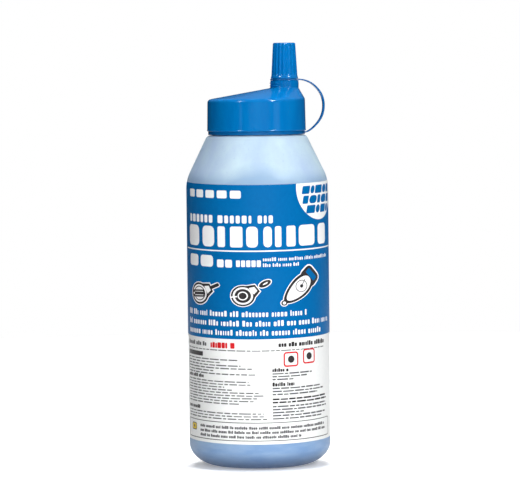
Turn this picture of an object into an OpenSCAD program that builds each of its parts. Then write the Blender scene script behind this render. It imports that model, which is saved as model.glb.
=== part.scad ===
// Squeeze bottle of marking-chalk powder, with a screw cap, a pouring spout
// and a small spout cap held by a tether.
// Millimetres. The origin is the centre of the base and +Z is up.
// +X points to the side of the spout and of the tether's strap.

/* [Bottle] */
// Outer diameter of the body, without the label
body_d = 87.7; // [84:0.1:92]
// Thickness of the bottle's wall
wall_t = 1.2; // [1:0.1:1.5]
// Height at which the body meets the shoulder cone, before rounding
body_top_z = 177.6; // [170:0.2:180]
// Slope of the shoulder cone, in degrees from the vertical
shoulder_angle = 25.8; // [24:0.2:27]
// Height of the flat at the root of the neck
neck_base_z = 205; // [204:0.2:206]
// Height of the mouth's rim
mouth_z = 224; // [223.6:0.1:224.4]
// Height of the rounded heel
heel_h = 14.3; // [10:0.1:18]
// Diameter of the flat ring that the bottle stands on
base_flat_d = 48; // [40:1:60]
// Height of the push-up in the middle of the base
pushup_h = 2.4; // [1:0.1:4]
// Height of the powder inside
powder_z = 178; // [60:1:180]

/* [Label] */
// Thickness of the wrap-round label
label_t = 0.15; // [0.1:0.05:0.2]
// Height of the label's lower edge
label_bottom_z = 16.5; // [16:0.5:60]
// Height of the label's upper edge
label_top_z = 172; // [100:0.5:172]

/* [Neck thread] */
// Outer diameter of the neck
neck_d = 53.8; // [53.4:0.1:54]
// Diameter of the hole through the neck
neck_bore_d = 50.4; // [48:0.2:50.8]
// Distance that the main cap rises in one turn
main_pitch = 5.08; // [4.6:0.02:5.4]
// Turns of thread on the neck
neck_turns = 1.5; // [1:0.25:1.75]

/* [Main cap] */
// Diameter of the cap at its lower edge
cap_d = 61.2; // [61:0.1:63]
// Diameter of the cap at its rim
cap_rim_d = 60.5; // [60.2:0.1:61]
// Height of the skirt's lower edge
skirt_z = 207.7; // [207.6:0.1:208.4]
// Height of the rim, where the sloping roof starts
rim_z = 227.2; // [227:0.1:228]
// Distance from the cap's axis to the spout's axis
spout_x = 18.1; // [16:0.1:19]

/* [Spout] */
// Diameter of the collar at the spout's root
collar_d = 17.4; // [17:0.1:18]
// Height of the collar's lower edge
collar_z = 234; // [233:0.1:235]
// Height of the collar's top face
collar_top_z = 238.1; // [238:0.1:238.2]
// Height of the spout's tip
tip_z = 259.6; // [256:0.1:259.8]
// Diameter of the hole through the spout
spout_bore_d = 7; // [6:0.1:7.4]
// Distance that the spout cap rises in one turn
spout_pitch = 3.2; // [3:0.1:3.4]
// Turns of thread on the spout
spout_turns = 2; // [1:0.25:2]

/* [Spout cap] */
// Diameter at the lower edge
tip_cap_d = 16.6; // [16.4:0.1:17.2]
// Diameter at the top
tip_cap_top_d = 13.9; // [13.6:0.1:14.6]
// Height of the lower edge
tip_cap_z = 239.75; // [239.7:0.05:239.8]
// Height of the top face
tip_cap_top_z = 262; // [262:0.2:264]
// Number of grip flutes
flutes = 20; // [12:1:24]

/* [Tether] */
// Outer diameter of the ring round the neck
neck_ring_d = 58.8; // [58:0.1:59.6]
// Outer diameter of the ring under the spout cap
tip_ring_d = 17.4; // [17:0.1:18]
// Width of the strap
strap_w = 3.2; // [2:0.1:5]
// Thickness of the strap
strap_t = 0.8; // [0.6:0.1:1]

/* [Hidden] */
$fn = 96;

cap_blue = "#0a72bd";
powder_blue = "#3f78c4";

// Steps of a rounded corner, and facets of the two circles that a roof is stretched between.
arc_steps = 6;
roof_fn = 32;

// Bottle
body_r = body_d / 2;
heel_w = body_r - base_flat_d / 2;
shoulder_r = body_r - (neck_base_z - body_top_z) * tan(shoulder_angle);
body_round = 24;
shoulder_round = 4;
neck_round = 0.7;
neck_r = neck_d / 2;
bore_r = neck_bore_d / 2;
slant_t = wall_t / cos(shoulder_angle);
seam_gap_angle = 1.5;
label_gap = 0.03;
powder_gap = 0.1;

// Main thread: the ridge on the neck and the ridge in the cap lie half a pitch apart.
thread_root_w = 2;
thread_tip_w = 1;
neck_thread_r = 28.1;
cap_thread_r = 27.3;
neck_thread_z = neck_base_z + 7.6;
cap_thread_turns = 1.5;
main_steps = 40;

// Main cap
cap_inner_r = 29;
land_z = 225.05;
land_r = 24.6;
rim_round = 1.4;
roof_t = 1.8;
collar_r = collar_d / 2;
bead_h = 0.25;

// Liner ring between the mouth and the cap
liner_t = 1;
liner_r = 28.4;

// Spout and its cap
spout_r = 5.2;
spout_tip_r = 4.5;
spout_bore_r = spout_bore_d / 2;
spout_taper_z = 251;
tip_inner_r = 6.5;
tip_inner_top_r = 5.3;
tip_wall = 1.6;
spout_thread_root_w = 1.3;
spout_thread_tip_w = 0.6;
spout_thread_r = 6.1;
tip_thread_r = 5.65;
spout_thread_z = tip_cap_z + 2.6;
spout_steps = 28;
plug_r = 3;
plug_z = tip_z - 2.6;
flute_r = 0.9;
flute_depth = 0.35;
flute_z = tip_cap_z + 2.9;
neck_under_cap_r = 7.2;
retainer_r = 7.55;
retainer_z = collar_top_z + 0.25;

// Tether. The ring round the neck is wide enough to pass over the neck's thread.
neck_ring_z = neck_base_z + 0.4;
neck_ring_h = 2.2;
neck_ring_inner_r = 28.4;
tip_ring_z = 238.85;
tip_ring_h = 0.75;
tip_ring_inner_r = 7.35;
strap_gap = 0.05;
strap_end_x = neck_ring_d / 2 + strap_gap;
strap_start_x = spout_x + tip_ring_d / 2 + strap_gap;

// The strap's middle line, as x and z, from the spout's ring down to the neck's ring.
STRAP = [[strap_start_x, 239.2], [30.5, 238.7], [35, 236.8], [39.2, 233], [41.9, 228.4],
         [42.8, 223.3], [42.1, 218], [39.9, 213.5], [36.3, 209.5], [32.6, 206.9],
         [strap_end_x, 206.3]];
strap_steps = 4;

// Points of an outline whose corners [x, y, radius] are rounded by that radius.
function corner(a, b, c) =
    b[2] == 0 ? [[b[0], b[1]]] :
    let (u = unit([a[0] - b[0], a[1] - b[1]]),
         v = unit([c[0] - b[0], c[1] - b[1]]),
         half = acos(u * v) / 2,
         middle = unit(u + v),
         centre = [b[0], b[1]] + middle * b[2] / sin(half),
         start = [b[0], b[1]] + u * b[2] / tan(half) - centre,
         turn = sign(u[0] * v[1] - u[1] * v[0]) * (half * 2 - 180))
    [for (i = [0:arc_steps]) centre + turned(start, turn * i / arc_steps)];
function unit(v) = v / norm(v);
function turned(p, a) = [p[0] * cos(a) - p[1] * sin(a), p[0] * sin(a) + p[1] * cos(a)];
function rounded(points) =
    let (n = len(points))
    [for (i = [0:n - 1]) each corner(points[(i + n - 1) % n], points[i], points[(i + 1) % n])];

// Quarter of an ellipse from the flat base ring out and up to the body's side.
function heel(x, w, h, z) = [for (a = [0:10:90]) [x + w * sin(a), z + h * (1 - cos(a))]];

// Point on a smooth curve through p1 and p2, with neighbours p0 and p3, at t from 0 to 1.
function smooth(p0, p1, p2, p3, t) =
    0.5 * (2 * p1 + (p2 - p0) * t + (2 * p0 - 5 * p1 + 4 * p2 - p3) * t * t
           + (3 * p1 - p0 - 3 * p2 + p3) * t * t * t);
function route(points, steps) =
    let (n = len(points))
    [for (i = [0:n - 2], j = [0:steps - 1])
         smooth(points[max(i - 1, 0)], points[i], points[i + 1], points[min(i + 2, n - 1)],
                j / steps),
     points[n - 1]];

// Helical ridge of trapezoid section that fades in and out. It reaches from root_r to tip_r.
module ridge(root_r, tip_r, root_w, tip_w, pitch, turns, z, steps) {
    n = round(turns * steps);
    fade = steps / 8;
    least = 0.25;
    function rise(i) = least + (1 - least) * min(1, i / fade, (n - i) / fade);
    function ring(i) =
        let (a = 360 * i / steps, zi = z + pitch * i / steps,
             r = root_r + (tip_r - root_r) * rise(i))
        [for (p = [[root_r, -root_w], [r, -tip_w], [r, tip_w], [root_r, root_w]])
             [p[0] * cos(a), p[0] * sin(a), zi + p[1] / 2]];
    sides = [for (i = [0:n - 1], k = [0:3])
                 let (p = i * 4 + k, q = i * 4 + (k + 1) % 4)
                 each [[p, q, q + 4], [p, q + 4, p + 4]]];
    ends = [[0, 3, 2], [0, 2, 1], [n * 4, n * 4 + 1, n * 4 + 2], [n * 4, n * 4 + 2, n * 4 + 3]];
    faces = concat(sides, ends);
    outward = tip_r > root_r;
    polyhedron([for (i = [0:n]) each ring(i)],
               [for (f = faces) outward ? f : [f[0], f[2], f[1]]]);
}

// Inside of the bottle below the mouth, moved in from the wall by a gap.
module hollow(gap) {
    in_r = body_r - wall_t - gap;
    in_w = heel_w - wall_t - gap;
    floor_z = wall_t + gap;
    top_z = neck_base_z - wall_t - gap;
    top_r = shoulder_r - slant_t - gap;
    upper = rounded([[0, body_top_z - 40, 0], [in_r, body_top_z - 40, 0],
                     [in_r, body_top_z, body_round - wall_t], [top_r, top_z, shoulder_round - wall_t],
                     [0, top_z, 0]]);
    rotate_extrude() {
        polygon(upper);
        polygon(concat([[0, pushup_h + floor_z], [base_flat_d / 2 - 8, pushup_h / 2 + floor_z]],
                       heel(in_r - in_w, in_w, heel_h - floor_z, floor_z),
                       [[in_r, body_top_z - 39], [0, body_top_z - 39]]));
    }
}

module bottle() {
    color("#d5e4f2")
    difference() {
        union() {
            rotate_extrude()
            polygon(concat([[0, pushup_h], [base_flat_d / 2 - 8, pushup_h / 2],
                            [base_flat_d / 2 - 5, 0]],
                           heel(body_r - heel_w, heel_w, heel_h, 0),
                           [[body_r, body_top_z - 40], [0, body_top_z - 40]]));
            rotate_extrude()
            polygon(rounded([[0, body_top_z - 41, 0], [body_r, body_top_z - 41, 0],
                             [body_r, body_top_z, body_round],
                             [shoulder_r, neck_base_z, shoulder_round],
                             [neck_r, neck_base_z, neck_round],
                             [neck_r, mouth_z, 0.4], [0, mouth_z, 0]]));
            ridge(neck_r - 0.4, neck_thread_r, thread_root_w, thread_tip_w,
                  main_pitch, neck_turns, neck_thread_z, main_steps);
        }
        hollow(0);
        translate([0, 0, neck_base_z - 3])
        cylinder(h = mouth_z - neck_base_z + 4, r = bore_r);
    }
}

module chalk_powder() {
    color(powder_blue)
    intersection() {
        hollow(powder_gap);
        cylinder(h = powder_z, r = body_r);
    }
}

module label() {
    color("#0b6cb4")
    rotate([0, 0, 90 + seam_gap_angle])
    rotate_extrude(angle = 360 - 2 * seam_gap_angle)
    translate([body_r + label_gap, label_bottom_z])
    square([label_t, label_top_z - label_bottom_z]);
}

// Solid of the sloping roof between the rim's circle and the collar's circle.
module roof(low_r, low_z, high_r, high_z) {
    sliver = 0.01;
    hull() {
        translate([0, 0, low_z]) cylinder(h = sliver, r = low_r, $fn = roof_fn * 2);
        translate([spout_x, 0, high_z - sliver]) cylinder(h = sliver, r = high_r, $fn = roof_fn);
    }
}

module main_cap() {
    rim_r = cap_rim_d / 2;
    color(cap_blue)
    difference() {
        union() {
            rotate_extrude()
            polygon(rounded([[0, skirt_z, 0], [cap_d / 2, skirt_z, 0.3],
                             [rim_r, rim_z, rim_round], [0, rim_z, 0]]));
            roof(rim_r - rim_round / 2, rim_z - 0.3, collar_r, collar_z);
            translate([spout_x, 0, 0]) {
                translate([0, 0, collar_z - 3])
                cylinder(h = collar_top_z - collar_z + 3, r = collar_r);
                for (z = [collar_z + 1.2, collar_z + 2.8])
                    rotate([0, 0, 130])
                    rotate_extrude(angle = 100)
                    translate([collar_r - 0.2, z])
                    square([bead_h + 0.2, 0.8]);
                rotate_extrude()
                polygon([[0, collar_top_z - 1], [spout_r, collar_top_z - 1],
                         [spout_r, spout_taper_z], [spout_tip_r, tip_z], [0, tip_z]]);
                ridge(spout_r - 0.3, spout_thread_r, spout_thread_root_w, spout_thread_tip_w,
                      spout_pitch, spout_turns, spout_thread_z, spout_steps);
            }
        }
        translate([0, 0, skirt_z - 1])
        cylinder(h = land_z - skirt_z + 1, r = cap_inner_r);
        roof(land_r, land_z - 0.2, collar_r - roof_t - 1, collar_z - roof_t);
        translate([spout_x, 0, land_z])
        cylinder(h = tip_z - land_z + 1, r = spout_bore_r);
    }
    color(cap_blue)
    ridge(cap_inner_r + 0.4, cap_thread_r, thread_root_w, thread_tip_w,
          main_pitch, cap_thread_turns, neck_thread_z - main_pitch / 2, main_steps);
}

module cap_liner() {
    color("#eef0ee")
    translate([0, 0, mouth_z + 0.02])
    difference() {
        cylinder(h = liner_t, r = liner_r);
        translate([0, 0, -1]) cylinder(h = liner_t + 2, r = bore_r - 0.5);
    }
}

module spout_cap() {
    low_r = tip_cap_d / 2;
    top_r = tip_cap_top_d / 2;
    height = tip_cap_top_z - tip_cap_z;
    lean = atan((low_r - top_r) / height);
    inner_top_z = tip_cap_top_z - tip_wall;
    color(cap_blue)
    translate([spout_x, 0, 0]) {
        difference() {
            rotate_extrude()
            polygon(rounded([[0, retainer_z, 0], [retainer_r, retainer_z, 0.1],
                             [retainer_r, retainer_z + 0.3, 0], [neck_under_cap_r, retainer_z + 0.45, 0],
                             [neck_under_cap_r, tip_cap_z, 0], [low_r, tip_cap_z, 0.4],
                             [top_r, tip_cap_top_z, 0.5], [0, tip_cap_top_z, 0]]));
            rotate_extrude()
            polygon([[0, retainer_z - 1], [tip_inner_r, retainer_z - 1],
                     [tip_inner_r, spout_taper_z], [tip_inner_top_r, inner_top_z],
                     [0, inner_top_z]]);
            for (i = [0:flutes - 1])
                rotate([0, 0, 360 * i / flutes])
                translate([low_r - tan(lean) * (flute_z - tip_cap_z) + flute_r - flute_depth,
                           0, flute_z])
                rotate([0, -lean, 0]) {
                    cylinder(h = height, r = flute_r, $fn = 24);
                    sphere(r = flute_r, $fn = 24);
                }
        }
        translate([0, 0, plug_z])
        cylinder(h = inner_top_z - plug_z + 0.5, r = plug_r);
        ridge(tip_inner_r + 0.3, tip_thread_r, spout_thread_root_w, spout_thread_tip_w,
              spout_pitch, spout_turns, spout_thread_z - spout_pitch / 2, spout_steps);
    }
}

module band(outer_r, inner_r, height) {
    difference() {
        cylinder(h = height, r = outer_r);
        translate([0, 0, -1]) cylinder(h = height + 2, r = inner_r);
    }
}

module tether_neck_ring() {
    color(cap_blue)
    translate([0, 0, neck_ring_z])
    band(neck_ring_d / 2, neck_ring_inner_r, neck_ring_h);
}

module tether_spout_ring() {
    color(cap_blue)
    translate([spout_x, 0, tip_ring_z])
    band(tip_ring_d / 2, tip_ring_inner_r, tip_ring_h);
}

// The strap is the route thickened by strap_t and extruded by strap_w.
module tether_strap() {
    middle = route(STRAP, strap_steps);
    last = len(middle) - 1;
    function side(i) =
        let (d = i == 0 || i == last ? [sign(last / 2 - i) * 1, 0]
                                     : unit(middle[i + 1] - middle[i - 1]))
        [-d[1], d[0]] * strap_t / 2;
    color(cap_blue)
    rotate([90, 0, 0])
    translate([0, 0, -strap_w / 2])
    linear_extrude(strap_w)
    polygon(concat([for (i = [0:last]) middle[i] + side(i)],
                   [for (i = [last:-1:0]) middle[i] - side(i)]));
}

bottle();
chalk_powder();
label();
main_cap();
cap_liner();
spout_cap();
tether_neck_ring();
tether_strap();
tether_spout_ring();
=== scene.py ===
"""Looks of a squeeze bottle of marking chalk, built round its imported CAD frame.

Metres, with the origin at the centre of the base and +Z up. +X is the side of the spout and the strap.
The label's own coordinates are millimetres: s runs round the bottle from the middle of its front,
to the right as a viewer sees it, and z is the height.
"""

import math
import random

import bmesh
import bpy
import numpy as np
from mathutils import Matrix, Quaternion, Vector, noise


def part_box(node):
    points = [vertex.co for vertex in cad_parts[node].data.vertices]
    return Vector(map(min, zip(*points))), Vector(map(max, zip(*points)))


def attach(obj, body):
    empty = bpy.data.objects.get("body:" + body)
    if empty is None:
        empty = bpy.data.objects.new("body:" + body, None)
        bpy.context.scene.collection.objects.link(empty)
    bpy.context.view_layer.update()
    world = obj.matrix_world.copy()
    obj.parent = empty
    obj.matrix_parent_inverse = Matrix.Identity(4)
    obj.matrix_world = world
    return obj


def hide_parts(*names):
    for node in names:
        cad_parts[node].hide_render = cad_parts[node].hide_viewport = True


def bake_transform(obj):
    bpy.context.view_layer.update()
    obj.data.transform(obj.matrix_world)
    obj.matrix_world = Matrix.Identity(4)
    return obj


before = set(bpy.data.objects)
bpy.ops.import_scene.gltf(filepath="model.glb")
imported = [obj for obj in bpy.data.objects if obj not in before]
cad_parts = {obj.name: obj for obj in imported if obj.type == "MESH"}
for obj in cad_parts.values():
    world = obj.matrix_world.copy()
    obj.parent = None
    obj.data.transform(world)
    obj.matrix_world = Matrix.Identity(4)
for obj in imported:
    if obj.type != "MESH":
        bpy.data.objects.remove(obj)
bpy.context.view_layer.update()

MM = 0.001

# ---------------------------------------------------------------- sizes, in millimetres


def box_mm(node):
    """Lowest and highest corner of a CAD node's box."""
    low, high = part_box(node)
    return np.array(low) / MM, np.array(high) / MM


bottle_high = box_mm("bottle")[1]
cap_low, cap_high = box_mm("main_cap")
spout_cap_low, spout_cap_high = box_mm("spout_cap")
neck_ring_low, neck_ring_high = box_mm("tether_neck_ring")
spout_ring_low, spout_ring_high = box_mm("tether_spout_ring")
liner_low, liner_high = box_mm("cap_liner")
powder_low, powder_high = box_mm("chalk_powder")

BODY_R = bottle_high[0]
MOUTH_Z = bottle_high[2]
WALL = 1.2
HEEL_H = 14.3
BASE_FLAT_R = 24.0
BASE_RING_R = 19.0
PUSH_UP = 2.4
BODY_TOP_Z = 177.6
BODY_ROUND = 24.0
SLOPE = math.radians(25.8)
NECK_Z = 205.0
NECK_R = 26.9
BORE_R = 25.2
SHOULDER_R = BODY_R - (NECK_Z - BODY_TOP_Z) * math.tan(SLOPE)
TURN_IN = BODY_ROUND * math.tan(SLOPE / 2)
# Above this height the body's side rounds in towards the shoulder.
CURVE_START = BODY_TOP_Z - TURN_IN
NECK_THREAD_R = 28.1
NECK_THREAD_Z = NECK_Z + 7.6
MAIN_PITCH = 5.08
MAIN_TURNS = 1.5

CAP_INNER_R = 29.0
CAP_THREAD_R = 27.3
LAND_R = 24.6
SPOUT_X = (spout_cap_low[0] + spout_cap_high[0]) / 2
SKIRT_R = cap_high[0]
SKIRT_Z = cap_low[2]
RIM_R = 30.25
RIM_Z = 227.2
COLLAR_R = 8.7
COLLAR_Z = 234.0
COLLAR_TOP_Z = 238.1
SPOUT_R = 5.2
SPOUT_BORE_R = 3.5
SPOUT_TIP_R = 4.5
SPOUT_TAPER_Z = 251
SPOUT_THREAD_R = 6.1
SPOUT_CAP_THREAD_R = 5.65
SPOUT_THREAD_Z = spout_cap_low[2] + 4.0
SPOUT_PITCH = 3.2
SPOUT_TURNS = 2
TIP_Z = cap_high[2]
LAND_Z = liner_high[2] + 0.03

# The side that faces the camera is turned by this much from -Y towards -X.
VIEW_TURN = math.radians(12)
FRONT = -math.pi / 2 - VIEW_TURN

# ---------------------------------------------------------------- mesh helpers


def finished(name, mesh, smooth_below):
    """Object of a mesh, smooth except where faces meet at a sharper angle."""
    mesh.polygons.foreach_set("use_smooth", [True] * len(mesh.polygons))
    mesh.set_sharp_from_angle(angle=math.radians(smooth_below))
    made = bpy.data.objects.new(name, mesh)
    bpy.context.scene.collection.objects.link(made)
    return made


def new_object(name, verts, faces, smooth_below=35):
    """Mesh object from vertices in millimetres."""
    mesh = bpy.data.meshes.new(name)
    mesh.from_pydata([tuple(np.asarray(v, float) * MM) for v in verts], [], faces)
    bm = bmesh.new()
    bm.from_mesh(mesh)
    bmesh.ops.recalc_face_normals(bm, faces=bm.faces)
    bm.to_mesh(mesh)
    bm.free()
    return finished(name, mesh, smooth_below)


def join(target, *others):
    """One object from several closed meshes that touch or sink into each other."""
    bm = bmesh.new()
    for obj in (target, *others):
        bm.from_mesh(obj.data)
    bm.to_mesh(target.data)
    bm.free()
    for obj in others:
        bpy.data.objects.remove(obj)
    return target


def rounded(path, steps=6, closed=False):
    """Rows of (x, radius, z) from rows of (x, radius, z, size): a corner is rounded over that size."""
    points = [np.array(row[:3], float) for row in path]
    out = []
    for i, row in enumerate(path):
        size = row[3] if len(row) > 3 else 0
        at_end = not closed and i in (0, len(path) - 1)
        if size == 0 or at_end:
            out.append(points[i])
            continue
        before = points[i - 1] - points[i]
        after = points[(i + 1) % len(path)] - points[i]
        start = points[i] + before / np.linalg.norm(before) * min(size, np.linalg.norm(before) * 0.49)
        end = points[i] + after / np.linalg.norm(after) * min(size, np.linalg.norm(after) * 0.49)
        for t in np.linspace(0, 1, steps + 1):
            out.append((1 - t) ** 2 * start + 2 * t * (1 - t) * points[i] + t * t * end)
    return out


def filled(rows, step):
    """The same rows with more between them, so that none are further apart than step."""
    out = [rows[0]]
    for a, b in zip(rows, rows[1:]):
        n = max(1, math.ceil(np.linalg.norm(b - a) / step))
        out += [a + (b - a) * k / n for k in range(1, n + 1)]
    return out


def round_angles(count, fine=()):
    """Angles round a circle, with four extra ones close to each angle in fine."""
    angles = set(np.linspace(0, 2 * math.pi, count, endpoint=False))
    for a in fine:
        angles |= {(a + math.radians(d)) % (2 * math.pi) for d in (-0.9, -0.45, 0, 0.45, 0.9)}
    return sorted(angles)


def revolve(name, rows, angles, closed=False, shape=None, smooth_below=35):
    """Closed mesh of circles, one for each row (x, radius, z). A row of radius 0 is a single point.
    shape(angle, row) returns a change of radius and of height."""
    verts, rings = [], []
    for row in rows:
        x, r, z = row
        if r < 1e-6:
            dz = shape(0.0, row)[1] if shape else 0
            rings.append([len(verts)])
            verts.append((x, 0, z + dz))
            continue
        ring = []
        for a in angles:
            dr, dz = shape(a, row) if shape else (0, 0)
            ring.append(len(verts))
            verts.append((x + (r + dr) * math.cos(a), (r + dr) * math.sin(a), z + dz))
        rings.append(ring)
    faces = []
    pairs = list(zip(rings, rings[1:])) + ([(rings[-1], rings[0])] if closed else [])
    for low, high in pairs:
        n = max(len(low), len(high))
        for k in range(n):
            m = (k + 1) % n
            if len(low) == 1:
                faces.append((low[0], high[m], high[k]))
            elif len(high) == 1:
                faces.append((low[k], low[m], high[0]))
            else:
                faces.append((low[k], low[m], high[m], high[k]))
    return new_object(name, verts, faces, smooth_below)


def swept(name, centres, sections, smooth_below=50):
    """Closed mesh along a line: one ring of points for each centre. sections(i) gives the points."""
    verts, rings = [], []
    for i in range(len(centres)):
        ring = []
        for p in sections(i):
            ring.append(len(verts))
            verts.append(p)
        rings.append(ring)
    faces = [tuple(rings[0][::-1]), tuple(rings[-1])]
    for low, high in zip(rings, rings[1:]):
        n = len(low)
        faces += [(low[k], low[(k + 1) % n], high[(k + 1) % n], high[k]) for k in range(n)]
    return new_object(name, verts, faces, smooth_below)


def ridge(x, root_r, tip_r, root_w, tip_w, z, pitch, turns, steps=64):
    """Helical thread ridge that fades in and out at its ends."""
    n = round(turns * steps)

    def section(i):
        a = 2 * math.pi * i / steps
        rise = min(1.0, 0.05 + i / (steps / 8), 0.05 + (n - i) / (steps / 8))
        r = root_r + (tip_r - root_r) * rise
        edge = [(root_r, -root_w), ((root_r + 3 * r) / 4, -(root_w + 3 * tip_w) / 4), (r, -tip_w * 0.7),
                (r, tip_w * 0.7), ((root_r + 3 * r) / 4, (root_w + 3 * tip_w) / 4), (root_r, root_w)]
        level = z + pitch * i / steps
        return [(x + q * math.cos(a), q * math.sin(a), level + w / 2) for q, w in edge]

    return swept("ridge", range(n + 1), section, 60)


def arc_bar(x, r, z, start, end, width, height, steps=40):
    """Rounded bar on the outside of a cylinder, along an arc. It stands height proud."""
    def section(i):
        a = start + (end - start) * i / steps
        rise = min(1.0, 0.1 + min(i, steps - i) / 4)
        edge = [(-0.3, -0.5), (0.4, -0.5), (0.85, -0.32), (1.0, 0.0), (0.85, 0.32), (0.4, 0.5), (-0.3, 0.5)]
        return [(x + (r + p * height * rise) * math.cos(a), (r + p * height * rise) * math.sin(a),
                 z + q * width) for p, q in edge]

    return swept("bar", range(steps + 1), section, 80)


# ---------------------------------------------------------------- materials


def srgb(r, g, b):
    """Linear colour from display values of 0 to 255."""
    def line(c):
        c /= 255
        return c / 12.92 if c <= 0.04045 else ((c + 0.055) / 1.055) ** 2.4
    return (line(r), line(g), line(b), 1.0)


class Material:
    """A Principled material, with short calls for the nodes that feed it."""

    def __init__(self, name, **constants):
        self.material = bpy.data.materials.new(name)
        self.material.use_nodes = True
        self.tree = self.material.node_tree
        self.shader = self.tree.nodes["Principled BSDF"]
        self.where = self.add("TexCoord").outputs["Object"]
        for key, value in constants.items():
            self.shader.inputs[key.replace("_", " ")].default_value = value

    def add(self, kind, inputs=None, **settings):
        node = self.tree.nodes.new("ShaderNode" + kind)
        for key, value in settings.items():
            setattr(node, key, value)
        for key, value in (inputs or {}).items():
            self.put(node.inputs[key], value)
        return node

    def put(self, socket, value):
        if isinstance(value, bpy.types.NodeSocket):
            self.tree.links.new(value, socket)
        else:
            socket.default_value = value

    def feed(self, name, value):
        self.put(self.shader.inputs[name], value)

    def stretched(self, x, y, z):
        return self.add("Mapping", {"Vector": self.where, "Scale": (x, y, z)}).outputs["Vector"]

    def noise(self, size_mm, detail=2.0, roughness=0.5, where=None):
        """Noise whose features are about size_mm across."""
        node = self.add("TexNoise", {"Vector": where or self.where, "Scale": 1 / (size_mm * MM),
                                     "Detail": detail, "Roughness": roughness})
        return node.outputs["Fac"]

    def ramp(self, value, stops):
        node = self.add("ValToRGB", {"Fac": value})
        while len(node.color_ramp.elements) < len(stops):
            node.color_ramp.elements.new(0.5)
        for element, (at, colour) in zip(node.color_ramp.elements, stops):
            element.position = at
            element.color = colour if hasattr(colour, "__len__") else (colour, colour, colour, 1)
        return node.outputs["Color"]

    def span(self, value, low, high, to_low=0.0, to_high=1.0):
        """value taken from the range low..high to the range to_low..to_high, and kept within it."""
        node = self.add("MapRange", {"Value": value, "From Min": low, "From Max": high,
                                     "To Min": to_low, "To Max": to_high})
        return node.outputs["Result"]

    def maths(self, operation, a, b):
        node = self.add("Math", operation=operation)
        self.put(node.inputs[0], a)
        self.put(node.inputs[1], b)
        return node.outputs["Value"]

    def mix(self, share, a, b, blend="MIX"):
        node = self.add("Mix", data_type="RGBA", blend_type=blend)
        self.put(node.inputs["Factor"], share)
        self.put(node.inputs["A"], a)
        self.put(node.inputs["B"], b)
        return node.outputs["Result"]

    def axes(self):
        return self.add("SeparateXYZ", {"Vector": self.where}).outputs

    def bump(self, *layers):
        """Bump from layers of (height, depth in millimetres)."""
        normal = None
        for height, depth in layers:
            inputs = {"Height": height, "Strength": 1.0, "Distance": depth * MM}
            if normal is not None:
                inputs["Normal"] = normal
            normal = self.add("Bump", inputs).outputs["Normal"]
        self.feed("Normal", normal)


def moulded_plastic(name, colour, deep, roughness, grain=0.012):
    """Glossy injection-moulded plastic: flow marks, faint sink and a fine orange peel."""
    m = Material(name, IOR=1.49, Specular_IOR_Level=0.35)
    flow = m.noise(9, 4, 0.6, m.stretched(1, 1, 0.35))
    m.feed("Base Color", m.mix(m.span(flow, 0.35, 0.7), colour, deep))
    smear = m.noise(3.5, 5, 0.65)
    m.feed("Roughness", m.span(smear, 0.3, 0.75, roughness * 0.85, roughness * 1.25))
    m.bump((m.noise(0.55, 2), grain), (m.noise(7, 2), grain * 1.2))
    return m.material


def bottle_plastic():
    """Milky blow-moulded plastic, with a film of chalk on its inside, the fill showing through and painted
    shade darkening the heel towards the base.
    """
    m = Material("bottle_hdpe", IOR=1.52, Specular_IOR_Level=0.3, Transmission_Weight=0.15,
                 Subsurface_Weight=0.25, Subsurface_Scale=0.006)
    m.shader.inputs["Subsurface Radius"].default_value = (0.8, 0.9, 1.0)
    axes = m.axes()
    x, y, z = axes["X"], axes["Y"], axes["Z"]
    clear = srgb(201, 227, 241)
    dusty = srgb(176, 200, 234)
    filled_blue = srgb(130, 167, 216)
    filled_pale = srgb(154, 186, 226)
    heel_painted_shade = srgb(84, 108, 146)
    film = m.noise(26, 4, 0.55, m.stretched(1, 1, 0.5))
    colour = m.mix(m.span(film, 0.35, 0.68), clear, dusty)
    across = m.maths("SUBTRACT", m.maths("MULTIPLY", x, math.cos(VIEW_TURN)),
                     m.maths("MULTIPLY", y, math.sin(VIEW_TURN)))
    # The fill stands 5 mm higher against the wall in the middle, and its edge wavers by 2 mm.
    heap = m.span(m.maths("ABSOLUTE", across, 0.0), 20 * MM, 8 * MM, 0.0, -5 * MM)
    level = m.maths("ADD", m.maths("ADD", z, heap), m.span(m.noise(20, 3), 0.2, 0.8, -2 * MM, 2 * MM))
    colour = m.mix(m.span(level, 184 * MM, 175 * MM, 0, 0.9), colour, srgb(148, 180, 214))
    wisps = m.noise(13, 4, 0.6, m.stretched(0.6, 0.6, 2.2))
    settled = m.mix(m.span(wisps, 0.38, 0.66), filled_blue, filled_pale)
    colour = m.mix(m.span(z, 40 * MM, 12 * MM), colour, settled)
    # Painted shade: the heel darkens over its lowest 11 mm, fully so below 2 mm, where it turns under towards
    # the floor.
    colour = m.mix(m.span(z, 11 * MM, 2 * MM), colour, heel_painted_shade)
    cling = m.noise(1.6, 4, 0.7)
    colour = m.mix(m.span(cling, 0.58, 0.72, 0, 0.22), colour, srgb(120, 160, 220))
    m.feed("Base Color", colour)
    m.feed("Roughness", m.span(m.noise(5, 4, 0.6), 0.3, 0.75, 0.4, 0.52))
    m.bump((m.noise(0.8, 3), 0.02), (m.noise(14, 2, 0.5, m.stretched(1, 1, 0.6)), 0.25))
    return m.material


def powder():
    """Loose ground chalk: matte, with clods and fine grain."""
    m = Material("blue_powder", Roughness=0.95, Specular_IOR_Level=0.15)
    clods = m.noise(4, 6, 0.75)
    m.feed("Base Color", m.ramp(clods, [(0.3, srgb(38, 84, 168)), (0.55, srgb(62, 112, 200)),
                                        (0.75, srgb(104, 150, 224))]))
    m.bump((m.noise(0.6, 6, 0.8), 0.25), (m.noise(5, 4), 0.8))
    return m.material


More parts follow.
